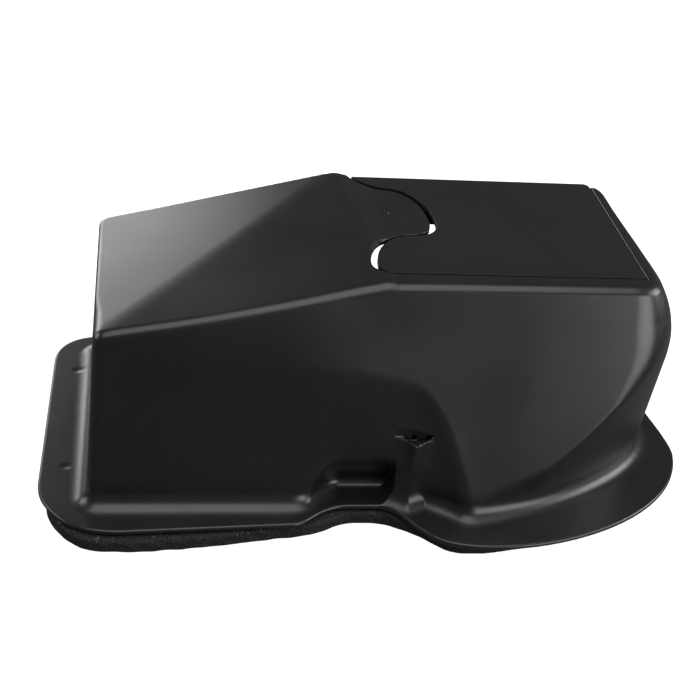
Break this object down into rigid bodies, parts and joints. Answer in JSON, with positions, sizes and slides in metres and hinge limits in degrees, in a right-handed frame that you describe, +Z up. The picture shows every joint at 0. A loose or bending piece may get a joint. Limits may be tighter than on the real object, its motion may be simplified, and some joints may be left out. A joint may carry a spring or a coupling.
{
  "type": "air filter housing",
  "caption": "Moulded air filter housing: faceted hood on a foam-sealed flange, hinged access lid with an S-shaped seam, rear duct collar, and a filter element held by turn clips.",
  "frame": {"origin": "centre of the overall box, on the plane of the foam gasket's underside", "axes": "+X along the housing towards the lid's hinge, +Y rearwards to the duct collar, +Z up"},
  "size_m": [0.3339, 0.1836, 0.131],
  "materials": {
    "shell_plastic": "satin moulded polypropylene",
    "inner_plastic": "satin",
    "clip_plastic": "satin",
    "foam": "matte open-cell foam",
    "film": "satin adhesive film",
    "filter_paper": "matte pleated paper",
    "element_frame": "matte board",
    "steel": "zinc plated"
  },
  "bodies": {
    "housing": {"housing_shell": "shell_plastic", "lid_seal_front": "foam", "lid_seal_rear": "foam", "flange_gasket": "foam", "gasket_adhesive_film": "film", "inlet_collar": "inner_plastic", "inlet_seal": "foam", "filter_carrier": "inner_plastic", "filter_frame": "element_frame", "filter_media": "filter_paper", "filter_seal": "foam", "carrier_screw_1": "steel", "carrier_screw_2": "steel", "carrier_screw_3": "steel", "carrier_screw_4": "steel", "carrier_screw_5": "steel", "carrier_screw_6": "steel", "clip_screw_1": "steel", "clip_screw_2": "steel", "clip_screw_3": "steel", "clip_screw_4": "steel"},
    "lid": {"access_lid": "shell_plastic"},
    "clip_1": {"turn_clip_1": "clip_plastic"},
    "clip_2": {"turn_clip_2": "clip_plastic"},
    "clip_3": {"turn_clip_3": "clip_plastic"},
    "clip_4": {"turn_clip_4": "clip_plastic"}
  },
  "joints": [
    {"name": "lid_hinge", "type": "hinge", "parent": "housing", "child": "lid", "pos_m": [0.12175, 0.01725, 0.1266], "axis": [-0.027, 0.9996, 0], "range_deg": [0, 105]},
    {"name": "clip_1_turn", "type": "hinge", "parent": "housing", "child": "clip_1", "pos_m": [-0.08975, -0.03825, 0.00685], "axis": [0, 0, 1], "range_deg": [0, 90]},
    {"name": "clip_2_turn", "type": "hinge", "parent": "housing", "child": "clip_2", "pos_m": [0.06025, -0.04075, 0.00685], "axis": [0, 0, 1], "range_deg": [0, 90]},
    {"name": "clip_3_turn", "type": "hinge", "parent": "housing", "child": "clip_3", "pos_m": [-0.08975, 0.06625, 0.00685], "axis": [0, 0, 1], "range_deg": [0, 90]},
    {"name": "clip_4_turn", "type": "hinge", "parent": "housing", "child": "clip_4", "pos_m": [0.06025, 0.06625, 0.00685], "axis": [0, 0, 1], "range_deg": [0, 90]}
  ]
}
